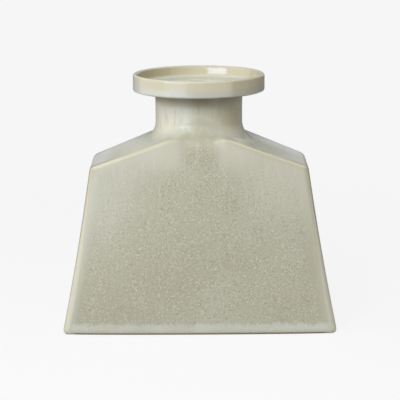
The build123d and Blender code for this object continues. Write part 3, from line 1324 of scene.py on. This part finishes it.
def body_glaze(scene):
    """The reactive glaze of the body: speckled faces, cream arrises, milky bands beside them, a bare foot,
    with painted light and shade.
    """
    colours = scene.vase_glaze
    sheet = NodeSheet("body_glaze")
    at = BodyPlaces(sheet, BodyLines(scene))
    base = face_clouds(sheet, at, colours)
    for coat in (neck_tones, glaze_runs, milky_bands, shoulder_tones):
        base = coat(sheet, at, base, colours)
    base, crystal = crystals(sheet, at, base, colours)
    base = thin_edges(sheet, at, base, colours)
    bare = sheet.fade(at.z, *BARE_FOOT) * sheet.fade(at.from_side, *BARE_SIDE)
    base = sheet.blend(bare, base, colours.clay)
    roughness = sheet.larger(sheet.range(crystal, *BODY_ROUGHNESS), bare * CLAY_ROUGHNESS)
    ripple = sheet.noise(RIPPLE_SPACING)
    sheet.bump(ripple * RIPPLE_SHARE + crystal * CRYSTAL_RELIEF_SHARE, BODY_BUMP, BUMP_DEPTH)
    return sheet.finish(base, roughness)


# The rim's glaze, with painted light and shade

RIM_WANDER_SPACING = 20 * MILLIMETRE
RIM_WANDER = span(-2, 2)
RIM_CREAM = span(4, 9.5)
RIM_LOW_LIGHT_LEFT = span(5, -30)
RIM_LOW_LIGHT_SHARE = 0.8
RIM_SHADE_RIGHT = span(24, 34)
RIM_SHADE_RIGHT_SHARE = 0.22
RIM_LIGHT_LEFT = span(-42, -56)
RIM_LIGHT_LEFT_SHARE = 0.6
RIM_INSIDE = span(1.2, -0.2)
RIM_SHADE_LEFT = span(10, -50)
DISH_FLOOR = span(3.5, 0.5)
LIP_TOP = span(-1.6, -0.2)
LIP_CREAM_AND_HIGHLIGHT_SHARE = 0.9
RIM_CRYSTAL_LEVELS = (0.55, 0.7)
RIM_CRYSTAL_SHARE = 0.35
RIM_PIT_SPACING_FACTOR = 1.5
RIM_PIT_LEVELS = (0.4, 0.28)
RIM_PIT_SHARE = 0.4
RIM_ROUGHNESS = (0.12, 0.22)
LIP_ROUGHNESS = 0.5
RIM_SHINE = 0.8
RIM_BUMP = 0.06


def rim_glaze(scene):
    """The same glaze on the rim: warm cream above, milky below, straw inside, pale on the lip, with painted
    light on the outside's left, painted shade on its right and on the inside wall's left, and a painted
    highlight on the lip.
    """
    colours = scene.vase_glaze
    rim = scene.vase_rim
    low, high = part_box("rim_dish")
    sheet = NodeSheet("rim_glaze")
    x, y, z = sheet.axes()
    over_foot = z - low.z
    level = over_foot + sheet.range(sheet.noise(RIM_WANDER_SPACING, detail=3), *RIM_WANDER)
    # Milky glaze low on the rim, with painted light towards the left.
    milk_and_left_light = sheet.blend(sheet.fade(x, *RIM_LOW_LIGHT_LEFT) * RIM_LOW_LIGHT_SHARE, colours.rim_milk, colours.pool)
    outside = sheet.blend(sheet.fade(level, *RIM_CREAM), milk_and_left_light, colours.rim_cream)
    # Painted shade on the rim's right side.
    outside = sheet.blend(sheet.fade(x, *RIM_SHADE_RIGHT) * RIM_SHADE_RIGHT_SHARE, outside, colours.shade)
    # Painted light on the rim's far left.
    outside = sheet.blend(sheet.fade(x, *RIM_LIGHT_LEFT) * RIM_LIGHT_LEFT_SHARE, outside, colours.dish)
    # Painted shade on the inside wall's left.
    wall_colour = sheet.blend(sheet.fade(x, *RIM_SHADE_LEFT), colours.rim_inside, colours.rim_shade)
    inside = sheet.blend(sheet.fade(over_foot - rim.floor, *DISH_FLOOR), wall_colour, colours.dish)
    from_inner_wall = sheet.root(x * x + y * y) - (high.x - rim.lip)
    base = sheet.blend(sheet.fade(from_inner_wall, *RIM_INSIDE), outside, inside)
    # Cream on the lip: glaze thinning on its rounded top, and also a painted highlight.
    lip = sheet.fade(z - high.z, *LIP_TOP)
    base = sheet.blend(lip * LIP_CREAM_AND_HIGHLIGHT_SHARE, base, colours.arris)
    crystal = sheet.fade(sheet.noise(colours.speckle_size, detail=3, roughness=0.6), *RIM_CRYSTAL_LEVELS)
    base = sheet.blend(crystal * RIM_CRYSTAL_SHARE, base, colours.speckle)
    pit = sheet.fade(sheet.noise(colours.speckle_size * RIM_PIT_SPACING_FACTOR), *RIM_PIT_LEVELS)
    base = sheet.blend(pit * RIM_PIT_SHARE, base, colours.field)
    roughness = sheet.larger(sheet.range(crystal, *RIM_ROUGHNESS), lip * LIP_ROUGHNESS)
    sheet.join(RIM_SHINE, sheet.shader.inputs["Specular IOR Level"])
    sheet.bump(sheet.noise(RIPPLE_SPACING), RIM_BUMP, BUMP_DEPTH)
    return sheet.finish(base, roughness)


# The glaze inside the body

INSIDE_CLOUD_SPACING = 20 * MILLIMETRE
INSIDE_SPECK_LEVELS = (0.55, 0.7)
INSIDE_SPECK_SHARE = 0.5
INSIDE_ROUGHNESS = (0.45, 0.6)
INSIDE_BUMP = 0.1


def inside_glaze(scene):
    """A thinner, duller glaze inside the body."""
    colours = scene.vase_glaze
    sheet = NodeSheet("inside_glaze")
    cloud = sheet.noise(INSIDE_CLOUD_SPACING, detail=3)
    base = sheet.blend(cloud, colours.inside, colours.clay)
    speck = sheet.fade(sheet.noise(colours.speckle_size, detail=3), *INSIDE_SPECK_LEVELS)
    base = sheet.blend(speck * INSIDE_SPECK_SHARE, base, colours.pale_cloud_and_corner_light)
    sheet.bump(cloud, INSIDE_BUMP, BUMP_DEPTH)
    return sheet.finish(base, sheet.range(speck, *INSIDE_ROUGHNESS))


# The stage, with lengths in metres

FLOOR_SIZE = 14.0
FLOOR_GAP = 0.0002
LAMP_DISTANCE = 1.6
SOFTBOX_SIZE = (1.06, 0.9)
SOFTBOX_TURN = radians(-38.7)
SOFTBOX_MIDDLE = 0.47
WINDOW_DISTANCE = 0.78
WINDOW_SIZE = (0.568, 0.57)
WINDOW_GLOW = (2.2, 6.9)
WINDOW_TINT = (0.65, 0.75, 1.0)
WINDOW_CHANGE = (0.2, 0.3)
PANEL_SIZE = (1.0, 1.2)
PANEL_TURN = radians(-85)
FILL_TURN = radians(80)
PANEL_MIDDLE = 0.62
KEY_SIZE = (1.2, 1.0)
KEY_PLACE = (-0.3, -1.5, 1.45)
AIM_HEIGHT = 0.12
CARD_RADIUS = 0.7
CARD_POINTS = 120
CARD_LEFT_FRONT = 0.35
CARD_RIGHT_FRONT = -0.38
CARD_HEIGHTS = (0.13, 0.22, 1.1)
LEFT_OPENING = (radians(-16.5), radians(-12))
RIGHT_OPENING = (radians(13.5), radians(30))
MIDDLE_OPENING = (radians(-6), radians(6))
CARD_OPENINGS = ((MIDDLE_OPENING,), (LEFT_OPENING,), (LEFT_OPENING, RIGHT_OPENING))
CARD_GREY = 0.25
FLOOR_GREY = 0.3
SENSOR_MILLIMETRES = 36.0
SHADE_NEAR = 0.25
SHADE_FAR = 0.9
SHADE_SHARE = 0.11


class VASE_OT_stage(bpy.types.Operator):
    """Sets the camera, the lamps, the pale floor and the even surround"""

    bl_idname = "vase.stage"
    bl_label = "Stage"

    def execute(self, context):
        stage = context.scene.vase_stage
        self.lay_floor(stage)
        self.set_camera(context.scene, stage)
        self.stand_lamp("softbox", SOFTBOX_TURN, SOFTBOX_MIDDLE, SOFTBOX_SIZE, stage.softbox_power)
        self.stand_lamp("left_panel", PANEL_TURN, PANEL_MIDDLE, PANEL_SIZE, stage.panel_power)
        self.stand_lamp("right_panel", FILL_TURN, PANEL_MIDDLE, PANEL_SIZE, stage.fill_power)
        self.hang_lamp("key_lamp", Vector(KEY_PLACE), Vector((0, 0, AIM_HEIGHT)), KEY_SIZE, stage.key_power)
        self.stand_card()
        self.stand_window()
        self.light_surround(context.scene, stage)
        context.scene.view_settings.view_transform = "Standard"
        return {"FINISHED"}

    def lay_floor(self, stage):
        """A wide pale floor, even far off, that keeps the vase's shadow near by."""
        clear_selection()
        bpy.ops.mesh.primitive_plane_add(size=FLOOR_SIZE, location=(0, 0, -FLOOR_GAP))
        bpy.ops.object.transform_apply(location=True, rotation=True, scale=True)
        floor = bpy.context.object
        floor.name = "floor"
        sheet = NodeSheet("floor_paper")
        nodes = sheet.tree.nodes
        nodes.remove(sheet.shader)
        paper = nodes.new("ShaderNodeBsdfDiffuse")
        sheet.join(stage.paper, paper.inputs["Color"])
        even = nodes.new("ShaderNodeEmission")
        grey = nodes.new("ShaderNodeBsdfDiffuse")
        sheet.join((FLOOR_GREY, FLOOR_GREY, FLOOR_GREY), grey.inputs["Color"])
        x, y, z = sheet.axes()
        near = sheet.fade(sheet.root(x * x + y * y), SHADE_FAR, SHADE_NEAR)
        sheet.join(sheet.blend(near, stage.background, stage.paper), even.inputs["Color"])
        pale = sheet.layer(near * SHADE_SHARE, even.outputs[0], paper.outputs[0])
        surface = sheet.layer(self.seen_ray(sheet.tree), grey.outputs[0], pale)
        sheet.join(surface, nodes["Material Output"].inputs["Surface"])
        floor.data.materials.append(sheet.material)

    def stand_card(self):
        """Grey cards on the left and right that only the gloss shows, so that the vase's edges stand out."""
        clear_selection()
        bpy.ops.mesh.primitive_circle_add(vertices=CARD_POINTS, radius=CARD_RADIUS, enter_editmode=True)
        card = bpy.context.object
        card.name = "grey_cards"
        bpy.ops.mesh.select_all(action="SELECT")
        below = 0.0
        for height in CARD_HEIGHTS:
            bpy.ops.mesh.extrude_region_move(TRANSFORM_OT_translate={"value": (0, 0, height - below)})
            below = height
        start_selecting("FACE")

        def left_open(face):
            place = face.calc_center_median()
            front = CARD_LEFT_FRONT if place.x < 0 else CARD_RIGHT_FRONT
            turn = atan2(place.x, place.y)
            openings = CARD_OPENINGS[sum(place.z > height for height in CARD_HEIGHTS)]
            return place.y < front or any(first < turn < last for first, last in openings)

        select_where(card, "faces", left_open)
        bpy.ops.mesh.delete(type="FACE")
        close_edit()
        self.show_in_gloss(card, NodeSheet("card_grey"), CARD_GREY)

    def stand_window(self):
        """A bright sheet in front of the softbox, brighter in its upper part, which only the gloss shows."""
        width, height = WINDOW_SIZE
        turn = SOFTBOX_TURN
        place = (WINDOW_DISTANCE * sin(turn), -WINDOW_DISTANCE * cos(turn), height / 2)
        clear_selection()
        bpy.ops.mesh.primitive_plane_add(size=1, location=place, rotation=(pi / 2, 0, turn))
        window = bpy.context.object
        window.name = "softbox_window"
        window.scale = (width, height, 1)
        bpy.ops.object.transform_apply(location=True, rotation=True, scale=True)
        sheet = NodeSheet("softbox_glow")
        x, y, z = sheet.axes()
        glow = sheet.range(sheet.fade(z, *WINDOW_CHANGE), *WINDOW_GLOW)
        self.show_in_gloss(window, sheet, glow, WINDOW_TINT)

    def show_in_gloss(self, card, sheet, level, tint=(1, 1, 1)):
        """Gives a card a glow and hides it from all but mirrored rays."""
        nodes = sheet.tree.nodes
        nodes.remove(sheet.shader)
        glow = nodes.new("ShaderNodeEmission")
        sheet.join(level, glow.inputs["Strength"])
        sheet.join(tint, glow.inputs["Color"])
        sheet.join(glow.outputs[0], nodes["Material Output"].inputs["Surface"])
        card.data.materials.append(sheet.material)
        card.visible_camera = False
        card.visible_diffuse = False
        card.visible_shadow = False
        card.visible_transmission = False

    def seen_ray(self, tree):
        """One for a ray that the camera sees straight, mirrored or through glass."""
        path = tree.nodes.new("ShaderNodeLightPath")
        seen = path.outputs["Is Camera Ray"]
        for kind in ("Is Glossy Ray", "Is Transmission Ray"):
            either = tree.nodes.new("ShaderNodeMath")
            either.operation = "MAXIMUM"
            tree.links.new(seen, either.inputs[0])
            tree.links.new(path.outputs[kind], either.inputs[1])
            seen = either.outputs[0]
        return seen

    def set_camera(self, scene, stage):
        """A long lens at the photograph's height and pitch."""
        place = (stage.camera_aside, -stage.camera_distance, stage.camera_height)
        pitch = Matrix.Rotation(pi / 2 - stage.camera_pitch, 3, "X")
        roll = Matrix.Rotation(stage.camera_roll, 3, "Z")
        bpy.ops.object.camera_add(location=place, rotation=(pitch @ roll).to_euler())
        camera = bpy.context.object
        camera.name = "camera"
        camera.data.sensor_width = SENSOR_MILLIMETRES
        camera.data.lens = stage.lens
        scene.camera = camera

    def stand_lamp(self, name, turn, middle, size, watts):
        """A soft lamp that stands upright beside the camera and faces the vase's axis."""
        place = Vector((LAMP_DISTANCE * sin(turn), -LAMP_DISTANCE * cos(turn), middle))
        self.hang_lamp(name, place, Vector((0, 0, middle)), size, watts)

    def hang_lamp(self, name, place, aim, size, watts):
        """A soft rectangular lamp that faces a point."""
        direction = (aim - place).to_track_quat("-Z", "Y").to_euler()
        bpy.ops.object.light_add(type="AREA", location=place, rotation=direction)
        lamp = bpy.context.object
        lamp.name = name
        lamp.data.shape = "RECTANGLE"
        lamp.data.size, lamp.data.size_y = size
        lamp.data.energy = watts
        lamp.visible_camera = False
        lamp.visible_glossy = False

    def light_surround(self, scene, stage):
        """Even light from all sides, pale where the camera sees it."""
        world = bpy.data.worlds.new("surround")
        world.use_nodes = True
        tree = world.node_tree
        background = tree.nodes["Background"]
        mix = tree.nodes.new("ShaderNodeMix")
        mix.data_type = "RGBA"
        tree.links.new(self.seen_ray(tree), mix.inputs[0])
        mix.inputs[6].default_value = (stage.surround, stage.surround, stage.surround, 1.0)
        mix.inputs[7].default_value = (*stage.background, 1.0)
        tree.links.new(mix.outputs[2], background.inputs["Color"])
        scene.world = world


# Panel and registration

OPERATORS = (
    VASE_OT_body_form,
    VASE_OT_base_slab,
    VASE_OT_face_walls,
    VASE_OT_side_walls,
    VASE_OT_shoulders,
    VASE_OT_neck,
    VASE_OT_rim_dish,
    VASE_OT_seam_coils,
    VASE_OT_stage,
)
SETTINGS = {
    "vase_body": VaseBodySizes,
    "vase_neck": VaseNeckSizes,
    "vase_rim": VaseRimSizes,
    "vase_glaze": VaseGlazeColours,
    "vase_stage": VaseStageSettings,
}


class VASE_PT_panel(bpy.types.Panel):
    """Lists the vase's settings and the steps that build it"""

    bl_idname = "VASE_PT_panel"
    bl_label = "Stoneware vase"
    bl_space_type = "VIEW_3D"
    bl_region_type = "UI"
    bl_category = "Vase"

    def draw(self, context):
        for name, group in SETTINGS.items():
            box = self.layout.box()
            box.label(text=group.__doc__)
            for setting in group.__annotations__:
                box.prop(getattr(context.scene, name), setting)
        for operator in OPERATORS:
            self.layout.operator(operator.bl_idname)


def register():
    for group in SETTINGS.values():
        bpy.utils.register_class(group)
    for name, group in SETTINGS.items():
        setattr(bpy.types.Scene, name, PointerProperty(type=group))
    for operator in OPERATORS:
        bpy.utils.register_class(operator)
    bpy.utils.register_class(VASE_PT_panel)


def unregister():
    bpy.utils.unregister_class(VASE_PT_panel)
    for operator in reversed(OPERATORS):
        bpy.utils.unregister_class(operator)
    for name, group in SETTINGS.items():
        delattr(bpy.types.Scene, name)
        bpy.utils.unregister_class(group)


def main():
    register()
    bpy.ops.vase.body_form()
    bpy.ops.vase.base_slab()
    bpy.ops.vase.face_walls()
    bpy.ops.vase.side_walls()
    bpy.ops.vase.shoulders()
    bpy.ops.vase.neck()
    bpy.ops.vase.rim_dish()
    bpy.ops.vase.seam_coils()
    bpy.ops.vase.stage()


if __name__ == "__main__":
    main()
